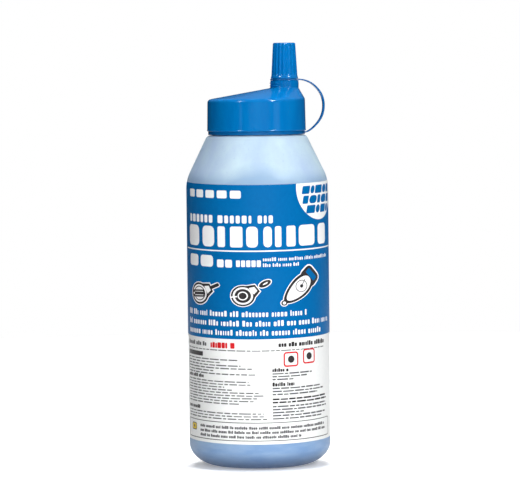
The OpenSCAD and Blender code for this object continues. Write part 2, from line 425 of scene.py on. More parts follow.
def printed(name, colour, worn, roughness=0.36, gloss=0.15):
    """Printing ink on plastic film: slight mottle in its density and the film's own soft ripple."""
    m = Material(name, Specular_IOR_Level=gloss)
    mottle = m.noise(2.2, 5, 0.7)
    m.feed("Base Color", m.mix(m.span(mottle, 0.35, 0.75), colour, worn))
    m.feed("Roughness", m.span(m.noise(1.2, 3), 0.3, 0.7, roughness * 0.85, roughness * 1.2))
    m.bump((m.noise(0.35, 2), 0.004), (m.noise(18, 2, 0.5, m.stretched(1, 1, 0.4)), 0.12))
    return m.material


def foam():
    """Closed-cell foam of the liner ring."""
    m = Material("liner_foam", Roughness=0.8)
    cells = m.add("TexVoronoi", {"Vector": m.where, "Scale": 1 / (0.45 * MM)}).outputs["Distance"]
    m.feed("Base Color", m.ramp(cells, [(0.0, srgb(206, 210, 208)), (0.6, srgb(240, 241, 238))]))
    m.bump((cells, 0.08))
    return m.material


CAP_BLUE = moulded_plastic("cap_blue_pp", srgb(0, 114, 183), srgb(0, 106, 176), 0.12)
SPOUT_BLUE = moulded_plastic("spout_cap_blue_pp", srgb(0, 114, 184), srgb(0, 104, 176), 0.13)
# Painted shade: the tether is the same blue plastic as the caps, given a darker copy of that blue for the
# shade on its strap and rings.
TETHER_SHADED_BLUE = moulded_plastic("tether_blue_pe_painted_shade", srgb(0, 94, 157), srgb(0, 86, 146), 0.2, 0.008)
BOTTLE = bottle_plastic()
POWDER = powder()
FOAM = foam()
FILM_WHITE = printed("label_white_film", srgb(246, 247, 246), srgb(240, 242, 242))
PRINT_BLUE = printed("label_print_blue", srgb(0, 104, 169), srgb(0, 98, 162), gloss=0.06)
INK_WHITE = printed("label_ink_white", srgb(250, 250, 250), srgb(244, 246, 248))
INK_DARK = printed("label_ink_dark", srgb(40, 38, 40), srgb(58, 54, 54))
INK_GREY = printed("label_ink_grey", srgb(92, 92, 95), srgb(110, 110, 112))
INK_PALE = printed("label_ink_pale_grey", srgb(196, 198, 200), srgb(208, 208, 210))
INK_RED = printed("label_ink_red", srgb(208, 28, 36), srgb(216, 44, 46))
INK_YELLOW = printed("label_ink_yellow", srgb(238, 206, 36), srgb(230, 196, 40))


def dress(obj, material, body, slot, *nodes):
    """Gives a piece its material, its body and the CAD nodes that it stands for; the slot is not used."""
    obj.data.materials.clear()
    obj.data.materials.append(material)
    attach(obj, body)
    if nodes:
        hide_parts(*nodes)
    return obj


# ---------------------------------------------------------------- bottle and fill


def heel(low_r, width, height, low_z, steps=12):
    """Quarter of an ellipse from the base's flat ring out and up to the body's side."""
    turn = [math.pi / 2 * k / steps for k in range(steps + 1)]
    return [(0, low_r + width * math.sin(a), low_z + height * (1 - math.cos(a))) for a in turn]


def make_bottle():
    outside = [(0, 0, PUSH_UP), (0, BASE_RING_R - 3, PUSH_UP / 2, 2), (0, BASE_RING_R, 0, 1)]
    outside += heel(BASE_FLAT_R, BODY_R - BASE_FLAT_R, HEEL_H, 0)
    outside += [(0, BODY_R, BODY_TOP_Z, TURN_IN), (0, SHOULDER_R, NECK_Z, 2.5),
                (0, NECK_R, NECK_Z, 0.6), (0, NECK_R, MOUTH_Z, 0.5)]
    slant = WALL / math.cos(SLOPE)
    inside = [(0, BORE_R, MOUTH_Z, 0.4), (0, BORE_R, NECK_Z - WALL, 0.6),
              (0, SHOULDER_R - slant, NECK_Z - WALL, 2),
              (0, BODY_R - WALL, BODY_TOP_Z, TURN_IN)]
    inside += heel(BASE_FLAT_R, BODY_R - WALL - BASE_FLAT_R, HEEL_H - WALL, WALL)[::-1]
    inside += [(0, BASE_RING_R - 3, PUSH_UP / 2 + WALL, 2), (0, 0, PUSH_UP + WALL)]
    seams = [FRONT + math.pi / 2, FRONT - math.pi / 2]

    def parting_line(angle, row):
        """Low ridge where the mould's halves met, on the outside only."""
        _, r, z = row
        out = r > BODY_R - WALL / 2 or z < WALL or (NECK_Z > z > BODY_TOP_Z and r > outer_at(z) - 0.3)
        off = min(abs((angle - s + math.pi) % (2 * math.pi) - math.pi) for s in seams)
        rise = 0.1 * max(0.0, 1 - math.degrees(off) / 0.8) if out and r > BASE_RING_R else 0.0
        return rise, 0.0

    rows = filled(rounded(outside + inside, 10), 12)
    body = revolve("bottle_shell", rows, round_angles(200, seams), shape=parting_line)
    thread = ridge(0, NECK_R - 0.4, NECK_THREAD_R, 2, 1, NECK_THREAD_Z, MAIN_PITCH, MAIN_TURNS)
    return join(body, thread)


def outer_at(z):
    """Outer radius of the body and shoulder at height z."""
    if z <= CURVE_START:
        return BODY_R
    if z < CURVE_START + BODY_ROUND * math.sin(SLOPE):
        return BODY_R - BODY_ROUND + math.sqrt(BODY_ROUND ** 2 - (z - CURVE_START) ** 2)
    return BODY_R - (z - BODY_TOP_Z) * math.tan(SLOPE)


def make_powder():
    r = powder_high[0] - 0.05
    top = powder_high[2]
    rows = [(0, 0, PUSH_UP + WALL + 0.2), (0, BASE_RING_R - 3, PUSH_UP / 2 + WALL + 0.2, 1)]
    rows += heel(BASE_FLAT_R, r - BASE_FLAT_R, HEEL_H - WALL, powder_low[2] + 0.2)
    rows += [(0, r, 172.5, 0), (0, r - 1.0, top, 0.5)]
    surface = filled([np.array((0, r - 1.0, top)), np.array((0, 0.0, top))], 1.0)[1:]
    rows = filled(rounded(rows), 10) + surface

    def settled(angle, row):
        """Uneven top, higher where the powder slid to the front when it was last put down."""
        _, q, z = row
        if z < top - 0.01 or q > r - 1.5:
            return 0.0, 0.0
        p = Vector((q * math.cos(angle), q * math.sin(angle), 0))
        lean = -p.y / r * 1.2
        clods = noise.fractal(p * 0.09, 0.6, 2.1, 5) * 1.4
        return 0.0, min(1.0, (r - q) / 10) * (1.0 + lean + clods)

    return revolve("powder_fill", rows, round_angles(160), shape=settled, smooth_below=60)


# ---------------------------------------------------------------- caps, liner and tether


def make_main_cap():
    x = SPOUT_X
    bead_r = SKIRT_R + 0.08
    groove_r, groove_z = 7.95, COLLAR_TOP_Z + 0.6
    channel_z = COLLAR_Z - 1.8
    rows = [(0, CAP_INNER_R, SKIRT_Z, 0.25), (0, bead_r, SKIRT_Z, 0.12), (0, bead_r, SKIRT_Z + 0.45, 0.15),
            (0, SKIRT_R - 0.03, SKIRT_Z + 0.7, 0.1), (0, RIM_R, RIM_Z, 2.0),
            (x, COLLAR_R, COLLAR_Z, 0.9), (x, COLLAR_R + 0.12, (COLLAR_Z + COLLAR_TOP_Z) / 2, 1.2),
            (x, COLLAR_R, groove_z, 0.2), (x, groove_r, groove_z, 0.15), (x, groove_r, COLLAR_TOP_Z, 0.1),
            (x, SPOUT_R, COLLAR_TOP_Z, 0.4), (x, SPOUT_R, SPOUT_TAPER_Z, 1.5),
            (x, SPOUT_TIP_R, TIP_Z, 0.4), (x, SPOUT_BORE_R, TIP_Z, 0.3),
            (x, SPOUT_BORE_R, channel_z, 0.4), (x, COLLAR_R - 2.8, channel_z, 0.8),
            (0, LAND_R, LAND_Z, 0.4), (0, CAP_INNER_R, LAND_Z, 0.3)]
    rows = rounded(rows, 8, closed=True)
    body = revolve("main_cap_shell", filled(rows, 2.5), round_angles(216), closed=True, smooth_below=60)
    threads = [ridge(0, CAP_INNER_R + 0.3, CAP_THREAD_R, 2, 1, NECK_THREAD_Z - MAIN_PITCH / 2, MAIN_PITCH,
                     MAIN_TURNS),
               ridge(x, SPOUT_R - 0.3, SPOUT_THREAD_R, 1.3, 0.6, SPOUT_THREAD_Z, SPOUT_PITCH,
                     SPOUT_TURNS, 48)]
    bumps = [arc_bar(x, COLLAR_R, z, math.radians(140), math.radians(232), 0.9, 0.45)
             for z in (COLLAR_Z + 1.3, COLLAR_Z + 2.9)]
    ticks = [arc_bar(0, SKIRT_R - 0.12, SKIRT_Z + 1.5, FRONT + math.radians(a), FRONT + math.radians(a + 0.7),
                     2.6, 0.25, 6) for a in (-5.6, -2.6)]
    return join(body, *threads, *bumps, *ticks)


def make_spout_cap():
    x = SPOUT_X
    low_z, high_z = spout_cap_low[2] + 1.4, spout_cap_high[2]
    low_r, high_r = 8.3, 6.95
    flutes, depth, start = 20, 0.5, low_z + 1.7
    inner_r, inner_top = 6.5, high_z - 1.6
    plug_r, plug_z = 3.0, TIP_Z - 2.6
    stub_z = spout_cap_low[2]
    outside = [(x, 0, high_z - 0.35), (x, 0.9, high_z - 0.35, 0.2), (x, 1.3, high_z - 0.05, 0.3),
               (x, high_r, high_z, 1.0), (x, low_r - 0.16, low_z + 1.6, 0.5),
               (x, low_r + 0.15, low_z + 0.7, 0.6),
               (x, low_r + 0.1, low_z, 0.3)]
    inside = [(x, 7.2, low_z, 0.1), (x, 7.2, stub_z + 0.45, 0.1), (x, 7.55, stub_z + 0.25, 0.1),
              (x, 7.5, stub_z, 0.15), (x, inner_r, stub_z, 0.2), (x, inner_r, SPOUT_TAPER_Z, 1),
              (x, 5.3, inner_top, 0.5), (x, plug_r, inner_top, 0.4), (x, plug_r, plug_z, 0.6), (x, 0, plug_z)]

    def fluted(angle, row):
        """Scalloped grip flutes that run out above the smooth lower band and stay open at the top."""
        _, r, z = row
        wall = low_r + (high_r - low_r) * (z - low_z) / (high_z - low_z)
        if z < start or r < wall - 0.75:
            return 0.0, 0.0
        scallop = (0.5 - 0.5 * math.cos(flutes * angle)) ** 0.6
        run_out = math.sqrt(min(1.0, (z - start) / 1.1))
        edge = min(1.0, max(0.0, (r - wall + 0.75) / 0.5))
        return -depth * scallop * run_out * edge, 0.0

    rows = filled(rounded(outside + inside, 7), 0.45)
    body = revolve("spout_cap_shell", rows, round_angles(320), shape=fluted, smooth_below=60)
    thread = ridge(x, inner_r + 0.3, SPOUT_CAP_THREAD_R, 1.3, 0.6, SPOUT_THREAD_Z - SPOUT_PITCH / 2,
                   SPOUT_PITCH, SPOUT_TURNS, 48)
    return join(body, thread)


def make_ring(name, x, inner_r, outer_r, low_z, high_z, size):
    rows = [(x, inner_r, low_z, size), (x, outer_r, low_z, size), (x, outer_r, high_z, size),
            (x, inner_r, high_z, size)]
    return revolve(name, rounded(rows, 5, closed=True), round_angles(160), closed=True, smooth_below=60)


# The strap's middle line, as x and z, from the spout's ring down to the neck's ring.
STRAP = [(25.9, 239.2), (26.9, 239.2), (30.5, 238.7), (35.0, 236.8), (39.2, 233.0), (41.9, 228.4),
         (42.8, 223.3), (42.1, 218.0), (39.9, 213.5), (36.3, 209.5), (32.6, 206.9), (29.6, 206.3),
         (28.9, 206.3)]


def smooth_line(points, steps):
    """Catmull-Rom curve through the points."""
    pts = [np.array(p, float) for p in points]
    out = []
    for i in range(len(pts) - 1):
        p0, p1, p2, p3 = pts[max(i - 1, 0)], pts[i], pts[i + 1], pts[min(i + 2, len(pts) - 1)]
        for k in range(steps):
            t = k / steps
            out.append(0.5 * (2 * p1 + (p2 - p0) * t + (2 * p0 - 5 * p1 + 4 * p2 - p3) * t * t
                              + (3 * p1 - p0 - 3 * p2 + p3) * t ** 3))
    return out + [pts[-1]]


def make_strap():
    line = smooth_line(STRAP, 10)
    last = len(line) - 1
    along = [np.linalg.norm(line[min(i + 1, last)] - line[max(i - 1, 0)]) / 2 for i in range(last + 1)]
    travelled = np.cumsum(along) - along[0]
    length = travelled[-1]

    def section(i):
        d = line[min(i + 1, last)] - line[max(i - 1, 0)]
        d /= np.linalg.norm(d)
        out = np.array((-d[1], d[0]))
        near_end = min(travelled[i], length - travelled[i])
        flare = max(0.0, 1 - near_end / 3.0) ** 2
        half_w = 1.55 + 0.9 * flare
        half_t = 0.40 + 0.24 * min(1.0, near_end / 18)
        ring = []
        for k in range(24):
            a = 2 * math.pi * k / 24
            c, s = math.cos(a), math.sin(a)
            u = math.copysign(abs(c) ** 0.35, c) * half_w
            v = math.copysign(abs(s) ** 0.55, s) * half_t
            ring.append((line[i][0] + out[0] * v, u, line[i][1] + out[1] * v))
        return ring

    return swept("tether_band", range(last + 1), section, 60)


# ---------------------------------------------------------------- label

LABEL_LOW, LABEL_HIGH = 18.2, 177.0
PANEL_LOW = 82.6
# The label sits this much lower in front, and higher behind, than its heights say.
TILT = 1.5
FILM = 0.14
LABEL_R = BODY_R + 0.02
HALF_TURN = math.pi * LABEL_R


def on_label(s, z, lift):
    """Point on the bottle's side: s round from the front, z up, lift out from the film's underside."""
    a = s / LABEL_R
    height = z - TILT * math.cos(a)
    r = outer_at(height) + 0.02 + lift
    return (r * math.cos(FRONT + a), r * math.sin(FRONT + a), height)


def film(name, low_z, high_z, low_lift, high_lift, seam):
    """Sheet wrapped round the bottle, thin and closed, with its seam at the back."""
    columns, rows = 200, 60
    s_values = np.linspace(-HALF_TURN + seam / 2, HALF_TURN - seam / 2, columns + 1)
    z_values = np.linspace(low_z, high_z, rows + 1)
    verts, index = [], {}
    for side, lift in enumerate((low_lift, high_lift)):
        for i, s in enumerate(s_values):
            for j, z in enumerate(z_values):
                index[side, i, j] = len(verts)
                verts.append(on_label(s, z, lift))
    faces = []
    for side in (0, 1):
        for i in range(columns):
            for j in range(rows):
                quad = [index[side, i, j], index[side, i + 1, j], index[side, i + 1, j + 1],
                        index[side, i, j + 1]]
                faces.append(tuple(quad if side else quad[::-1]))
    rim = [(i, 0) for i in range(columns)] + [(columns, j) for j in range(rows)]
    rim += [(i, rows) for i in range(columns, 0, -1)] + [(0, j) for j in range(rows, 0, -1)]
    for (a, b), (c, d) in zip(rim, rim[1:] + rim[:1]):
        faces.append((index[0, a, b], index[0, c, d], index[1, c, d], index[1, a, b]))
    return new_object(name, verts, faces)


def ink(name, shapes, material, layer=1):
    """Printed shapes as one thin raised piece. Each shape is a list of (s, z) corners."""
    low = FILM + 0.01 + 0.03 * layer
    thick = 0.02
    bm = bmesh.new()
    for shape in shapes:
        bm.faces.new([bm.verts.new((s, z, 0)) for s, z in shape])
    bmesh.ops.recalc_face_normals(bm, faces=bm.faces)
    spread = [v.co.x for v in bm.verts]
    step = 2.0
    first = math.floor(min(spread) / step)
    columns = [(k * step, 0, 0) for k in range(first, math.ceil(max(spread) / step))]
    rows = [(0, height, 0) for height in range(math.floor(CURVE_START), math.ceil(LABEL_HIGH))]
    # Cut across wherever the film curves, so that the shapes can follow it
    for places, normal in ((columns, (1, 0, 0)), (rows, (0, 1, 0))):
        for place in places:
            geom = bm.verts[:] + bm.edges[:] + bm.faces[:]
            bmesh.ops.bisect_plane(bm, geom=geom, dist=1e-5, plane_co=place, plane_no=normal)
    bottom = bm.faces[:]
    grown = bmesh.ops.extrude_face_region(bm, geom=bottom, use_keep_orig=True)
    for v in (g for g in grown["geom"] if isinstance(g, bmesh.types.BMVert)):
        v.co.z = thick
    for v in bm.verts:
        v.co = Vector(on_label(v.co.x, v.co.y, low + v.co.z)) * MM
    bmesh.ops.recalc_face_normals(bm, faces=bm.faces)
    mesh = bpy.data.meshes.new(name)
    bm.to_mesh(mesh)
    bm.free()
    return dress(finished(name, mesh, 30), material, "bottle", "label")


def bar(s0, s1, z0, z1, r=0.3):
    """Rectangle with rounded corners."""
    r = min(r, abs(s1 - s0) / 2.01, abs(z1 - z0) / 2.01)
    out = []
    corners = ((s1 - r, z1 - r, 0), (s0 + r, z1 - r, 90), (s0 + r, z0 + r, 180), (s1 - r, z0 + r, 270))
    for cs, cz, start in corners:
        for d in (0, 30, 60, 90):
            a = math.radians(start + d)
            out.append((cs + r * math.cos(a), cz + r * math.sin(a)))
    return out


def disc(s, z, rs, rz=None, count=40, top=None):
    """Circle or ellipse, cut off level at the height top."""
    rz = rz or rs
    points = [(s + rs * math.cos(2 * math.pi * k / count), z + rz * math.sin(2 * math.pi * k / count))
              for k in range(count)]
    return points if top is None else [(a, min(b, top)) for a, b in points]


def stroke(points, width, closed=False):
    """Line of quads with mitred corners, for outlines."""
    pts = [np.array(p, float) for p in points]
    n = len(pts)
    sides = []
    for i in range(n):
        before = pts[i] - pts[i - 1] if i or closed else pts[1] - pts[0]
        after = pts[(i + 1) % n] - pts[i] if i < n - 1 or closed else pts[-1] - pts[-2]
        before, after = before / np.linalg.norm(before), after / np.linalg.norm(after)
        normal = np.array((-(before + after)[1], (before + after)[0]))
        normal /= np.linalg.norm(normal)
        reach = width / 2 / max(0.3, normal @ np.array((-before[1], before[0])))
        sides.append((pts[i] + normal * reach, pts[i] - normal * reach))
    ends = range(n if closed else n - 1)
    return [[sides[i][0], sides[(i + 1) % n][0], sides[(i + 1) % n][1], sides[i][1]] for i in ends]


def placed(shapes, s, z, size, turn=0, wide=1.0):
    """Shapes of unit size moved to (s, z), turned by degrees and stretched sideways."""
    c, d = math.cos(math.radians(turn)) * size, math.sin(math.radians(turn)) * size
    return [[(s + wide * (a * c - b * d), z + a * d + b * c) for a, b in shape] for shape in shapes]


def blocks(s0, s1, z, height, seed, tall=0.3, gap=0.14, word=(3, 8), wide=0.72):
    """A line of small blocks in groups, which stands for a line of print without any letters."""
    rng = random.Random(seed)
    out, s = [], s0
    width = height * wide
    while s < s1 - width:
        for _ in range(rng.randint(*word)):
            w = width * rng.choice((0.55, 0.85, 1.0, 1.0, 1.2))
            if s + w > s1:
                break
            up = height * (1 + (tall if rng.random() < 0.3 else 0))
            out.append(bar(s, s + w, z, z + up, height * 0.18))
            s += w + height * gap
        s += height * 0.55
    return out


def lines(s0, widths, z, pitch, height, seed, gap=0.7):
    """Lines of fine print as bars, broken into words."""
    rng = random.Random(seed)
    out = []
    for k, width in enumerate(widths):
        s, level = s0, z - pitch * k
        while s < s0 + width:
            w = min(rng.uniform(2.0, 7.5), s0 + width - s)
            if w > 0.5:
                out.append(bar(s, s + w, level, level + height * rng.choice((0.85, 1, 1)), 0.2))
            s += w + gap
    return out


def reel_outline(grow):
    """Plain pictogram of a round case with a tapered mouth, pointing along +s."""
    r = 1 + grow
    arc = [(r * math.cos(math.radians(a)), r * math.sin(math.radians(a))) for a in range(42, 319, 12)]
    mouth = [(1.45 + grow, -0.34 - grow), (1.45 + grow, 0.34 + grow)]
    return arc + mouth


def long_case(grow, count=40):
    """Plain pictogram of a long case: an egg whose narrow end points along -s."""
    points = []
    for k in range(count):
        a = 2 * math.pi * k / count
        narrowed = 0.8 + 0.2 * math.cos(a)
        points.append(((1.25 + grow) * math.cos(a) - 0.15, (0.8 + grow) * math.sin(a) * narrowed))
    return points


def circle_stroke(s, z, r, width):
    return stroke(disc(s, z, r, count=36), width, closed=True)


# The five bold pairs of blocks, as their two ends round the bottle and the size of their corners.
BOLD_BLOCKS = [(-55, -28.5, 3.0), (-26, -9.3, 1.2), (-7.0, 8.6, 2.4), (10.6, 24.2, 1.2), (26.6, 53.5, 2.4)]

# The badge's rows of blocks: where each row starts, its height and the widths of its blocks.
BADGE_ROWS = [(29.0, 170.3, (6.4, 3.6, 7.8, 5.6, 4.6)), (29.5, 164.3, (4.6, 7.2, 3.4, 7.6, 5.0)),
              (32.5, 158.3, (7.8, 4.4, 6.8, 4.4))]


def draw_reels(white, dark, white_top, dark_top, white_fine, blue):
    """Three plain pictograms of chalk reels: two round ones with a mouth, and a long one with a handle."""
    shoulder = [(0.9, -0.4), (1.36, -0.24), (1.36, 0.24), (0.9, 0.4)]

    s, z, size, wide = -42.3, 109.6, 6.2, 1.3
    tilted, level = (s, z, size, 26, wide), (s, z, size, 4, wide)
    white += placed([reel_outline(0.16), bar(1.4, 2.4, -0.25, 0.25, 0.2)], *tilted)
    dark += placed([reel_outline(0.07), bar(1.4, 2.33, -0.16, 0.16, 0.1)], *tilted)
    white_top += placed([disc(0, 0, 0.88), shoulder], *tilted)
    dark_top += placed(circle_stroke(0, 0, 0.68, 0.09) + [bar(-1.0, 0.7, -0.36, 0.36, 0.2)], *level)
    white_fine += placed([bar(-0.62, 0.5, 0.14, 0.2, 0.03), bar(-0.62, 0.5, -0.2, -0.14, 0.03),
                          disc(-0.78, 0, 0.1, count=16)], *level)

    s, z, size, wide = -9.6, 109.2, 5.9, 1.2
    tilted, level = (s, z, size, 33, wide), (s, z, size, 8, wide)
    white += placed([reel_outline(0.15), disc(2.3, 0, 0.68, 0.38)], *tilted)
    dark += placed([reel_outline(0.07), disc(2.3, 0, 0.58, 0.3)], *tilted)
    white_top += placed([disc(0, 0, 0.9), shoulder, disc(2.34, 0, 0.26, 0.07)], *tilted)
    dark_top += placed([disc(0, 0, 0.72)], *tilted)
    white_fine += placed(circle_stroke(0, 0, 0.4, 0.11) + [bar(-1.15, -0.5, -0.07, 0.07, 0.06)], *level)

    tilted = (27.5, 113.6, 8.8, 44, 1.2)
    hand = stroke([(0.1, 0), (0.62, 0.16)], 0.05)
    white += placed([long_case(0.11), bar(0.5, 1.66, -0.78, 0.78, 0.4), disc(-1.5, 0, 0.25)], *tilted)
    dark += placed([long_case(0.04), bar(0.5, 1.56, -0.68, 0.68, 0.3), disc(-1.5, 0, 0.19)], *tilted)
    white_top += placed([long_case(-0.17), disc(-1.5, 0, 0.1)], *tilted)
    blue += placed([bar(0.98, 1.36, -0.48, 0.48, 0.08)], *tilted)
    dark_top += placed(circle_stroke(0.1, 0, 0.4, 0.045) + [disc(0.1, 0, 0.12)] + hand, *tilted)


def make_label():
    """White film, blue panel and printed shapes. Every mark is a plain block, bar or pictogram."""
    sheet = film("label_film", LABEL_LOW, LABEL_HIGH, 0.0, FILM, seam=0.5)
    panel = film("label_blue_panel", PANEL_LOW, LABEL_HIGH - 0.05, FILM + 0.003, FILM + 0.023, seam=0.9)
    dress(sheet, FILM_WHITE, "bottle", "label", "label")
    dress(panel, PRINT_BLUE, "bottle", "label")

    white, white_top, white_fine, dark, dark_top = [], [], [], [], []
    grey, pale, red, yellow, blue = [], [], [], [], []
    # Blue panel, from the top down: row of blocks, line, bold blocks, rule, sizes, three long lines
    white += [bar(s, s + 7.0, 168.6, 173.4, 1.0) for s in (-53.5, -44.4, -35.3, -26.2, -17.1)]
    white += blocks(-53.5, 11, 153.4, 4.8, 5, tall=0.0, gap=0.26, word=(5, 6), wide=0.62)
    for k, (s0, s1, r) in enumerate(BOLD_BLOCKS):
        split = s0 + (s1 - s0) * (0.42 if k % 2 else 0.56)
        white += [bar(a, b, 138.8, 151.5, r) for a, b in ((s0, split - 1.7), (split + 1.7, s1))]
    white += stroke([(s, 136.5) for s in range(-61, 64, 4)], 0.8)
    white += [bar(-54, -43, 126.4, 133.5, 2.0), bar(-40.6, -29.6, 126.4, 133.5, 2.0)]
    white += [bar(-26.6, -21.8, 126.4, 131.2, 0.9), bar(-20.8, -16.2, 126.4, 131.2, 0.9)]
    white += [bar(s, s + 2.5, 126.9, 130.9, 0.5) for s in (-13.6, -10.4, -7.2, -4.0, -0.8)]
    white += blocks(3, 55, 130.3, 1.7, 21, gap=0.32, word=(5, 9), wide=0.5)
    white += blocks(3, 27, 126.8, 1.7, 22, gap=0.32, word=(4, 6), wide=0.5)
    for s1, z, seed in ((33, 96.3, 31), (57, 90.5, 32), (47, 84.8, 33)):
        white += blocks(-56.5, s1, z, 2.7, seed, gap=0.28, wide=0.52)
    draw_reels(white, dark, white_top, dark_top, white_fine, blue)

    # Round badge at the upper right, cut off by the label's edge
    white.append(disc(45.5, 174.5, 20.5, 20.5, 72, LABEL_HIGH - 0.1))
    lean, tall = 0.22, 4.9
    for s0, z, widths in BADGE_ROWS:
        for k, width in enumerate(widths):
            block = bar(s0, s0 + width, z, z + tall, 2.3 if k % 2 else 0.7)
            blue.append([(s + lean * (height - z), height) for s, height in block])
            s0 += width + 0.8

    # White panel: heading line, small print in two columns, two framed marks and a boxed note
    grey += blocks(-58.5, -35, 77.6, 2.0, 41)
    red += blocks(-32.5, -12.8, 76.8, 3.2, 42, tall=0.1, gap=0.1, word=(6, 6))
    dark += blocks(12, 50, 77.6, 2.2, 43)
    grey += lines(-59, [108], 75.2, 1, 0.6, 44)
    dark += [bar(-58.5, -39.5, 71.2, 73.9, 0.3)]
    grey += lines(-58.5, [45, 33, 47, 54, 29, 56], 69.3, 1.75, 0.72, 51, gap=0.95)
    dark += blocks(-59, -38, 57.9, 1.7, 52)
    grey += lines(-58.5, [52, 53, 36, 42, 58, 61, 57, 56, 46], 56.0, 1.68, 0.7, 53, gap=0.95)
    dark += blocks(-59, -42, 38.6, 1.7, 54)
    grey += lines(-58.5, [61, 61, 63], 36.6, 1.7, 0.7, 55, gap=0.95)
    for s, z in ((20.2, 69.8), (33.8, 70.9)):
        red += stroke(bar(s - 4.6, s + 4.6, z - 4.1, z + 4.1, 1.4), 0.95, closed=True)
        dark += [disc(s, z, 2.2, count=28)]
    dark += blocks(8, 19, 62.5, 1.7, 61)
    grey += lines(8, [28, 24, 14], 60.9, 1.75, 0.92, 62)
    dark += blocks(8, 24, 53.6, 1.9, 63)
    grey += lines(8, [36, 40, 33], 51.9, 1.85, 0.92, 64)
    dark += lines(8, [43, 44], 45.2, 1.95, 1.0, 65)
    grey += lines(8, [43, 44, 21, 42, 38], 40.8, 1.85, 0.92, 66)
    dark += stroke(bar(-59.8, 55.5, 20.4, 31.4, 1.5), 0.42, closed=True)
    yellow += [bar(-53.6, -47.6, 25.0, 29.0, 0.9)]
    dark += stroke(bar(-53.6, -47.6, 25.0, 29.0, 0.9), 0.5, closed=True) + [disc(-50.6, 27.0, 0.9, count=20)]
    grey += blocks(-43, 49, 27.4, 1.4, 71, gap=0.1)
    grey += blocks(-43, 50, 24.6, 1.4, 72, gap=0.1)
    grey += blocks(-43, 27, 21.8, 1.4, 73, gap=0.1)
    back_of_label(white, dark, grey, red, pale)

    ink("print_white", white, INK_WHITE, 1)
    ink("print_dark", dark, INK_DARK, 2)
    ink("print_white_over", white_top, INK_WHITE, 3)
    ink("print_dark_over", dark_top, INK_DARK, 4)
    ink("print_white_fine", white_fine, INK_WHITE, 5)
    ink("print_blue_over", blue, PRINT_BLUE, 3)
    ink("print_grey", grey, INK_GREY, 1)
    ink("print_pale", pale, INK_PALE, 1)
    ink("print_red", red, INK_RED, 1)
    ink("print_yellow", yellow, INK_YELLOW, 1)


def back_of_label(white, dark, grey, red, pale):
    """The rest of the wrap, past the sides: columns of print and a plain bar pattern."""
    # Where the two columns start round the bottle
    right, left = 66, -132
    white += blocks(right + 4, right + 44, 166.5, 4.2, 81, tall=0.0, gap=0.18, word=(4, 6))
    for k in range(9):
        white += lines(right + 4, [56 - 7 * (k % 3)], 160 - 4.2 * k, 1, 1.4, 90 + k)
    white += blocks(right + 4, right + 34, 118.0, 3.2, 101)
    for k in range(6):
        white += lines(right + 4, [58 - 9 * (k % 2)], 112 - 4.2 * k, 1, 1.4, 110 + k)
    white += blocks(left + 4, left + 40, 166.5, 4.2, 121, tall=0.0, gap=0.18, word=(4, 6))
    for k in range(18):
        white += lines(left + 4, [52 - 6 * (k % 4)], 160 - 4.0 * k, 1, 1.3, 130 + k)
    dark += blocks(right + 4, right + 30, 77.4, 2.2, 151)
    grey += lines(right + 4, [56, 52, 58, 49, 55, 30, 57, 51, 54, 20], 73.6, 2.1, 0.8, 152)
    dark += blocks(right + 4, right + 26, 49.6, 2.0, 153)
    grey += lines(right + 4, [55, 57, 50, 53, 26], 46.6, 2.1, 0.8, 154)
    dark += blocks(left + 4, left + 34, 77.4, 2.2, 161)
    grey += lines(left + 4, [54, 50, 55, 47, 53, 22], 73.6, 2.1, 0.8, 162)
    rng = random.Random(7)
    s = left + 10
    while s < left + 46:
        w = rng.choice((0.35, 0.35, 0.7, 1.05))
        dark.append(bar(s, s + w, 31, 52, 0.02))
        s += w + rng.choice((0.35, 0.7, 0.7, 1.05))
    pale += stroke(bar(left + 6, left + 50, 24, 57, 1.5), 0.4, closed=True)
    red += [disc(left + 28, 27.5, 1.6, count=24)]


# ---------------------------------------------------------------- the object

dress(make_bottle(), BOTTLE, "bottle", "bottle", "bottle")
dress(make_powder(), POWDER, "bottle", "powder", "chalk_powder")
make_label()
dress(make_main_cap(), CAP_BLUE, "main_cap", "cap", "main_cap")
dress(make_spout_cap(), SPOUT_BLUE, "spout_cap", "cap", "spout_cap")
liner = make_ring("liner_ring", 0, 24.7, liner_high[0], liner_low[2], liner_high[2], 0.25)
lower_ring = make_ring("tether_lower_ring", 0, 28.4, neck_ring_high[0] + 0.6,
                       neck_ring_low[2], neck_ring_high[2] + 0.06, 0.15)
upper_ring = make_ring("tether_upper_ring", SPOUT_X, 7.35, spout_ring_high[0] - SPOUT_X + 0.2,
                       spout_ring_low[2] - 0.08, spout_ring_high[2] + 0.1, 0.45)
dress(liner, FOAM, "liner", "liner", "cap_liner")
dress(lower_ring, TETHER_SHADED_BLUE, "main_cap", "tether", "tether_neck_ring")
dress(upper_ring, TETHER_SHADED_BLUE, "spout_ring", "tether", "tether_spout_ring")
strap = make_strap()
strap.data.materials.append(TETHER_SHADED_BLUE)
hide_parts("tether_strap")
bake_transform(strap)

# ---------------------------------------------------------------- floor, light and camera

# The dome's strength low down and overhead, and how much of it is left on the camera's left.
DOME_LOW, DOME_HIGH = 0.03, 0.28
DOME_LEFT = 0.3
FLOOR_R = 1100
MIDDLE = Vector((0, 0, 0.15))


def make_stage():
    """Round pale floor. Its own glow grows outwards, so that it fades into the white behind it."""
    edge = [(x, y, 0) for x, y in disc(0, 0, FLOOR_R, count=96)]
    floor = new_object("floor", edge, [tuple(range(len(edge)))])
    m = Material("pale_floor", Roughness=0.9)
    away = m.add("VectorMath", {"Vector": m.where}, operation="LENGTH").outputs["Value"]
    m.feed("Emission Strength", m.span(away, 0.08, 0.5, 0.25, 0.95))
    m.feed("Emission Color", (1, 1, 1, 1))
    m.feed("Base Color", m.mix(m.span(m.noise(300, 2), 0.3, 0.7), srgb(250, 250, 250), srgb(247, 248, 250)))
    floor.data.materials.append(m.material)
    floor.visible_diffuse = False
    floor.visible_shadow = False


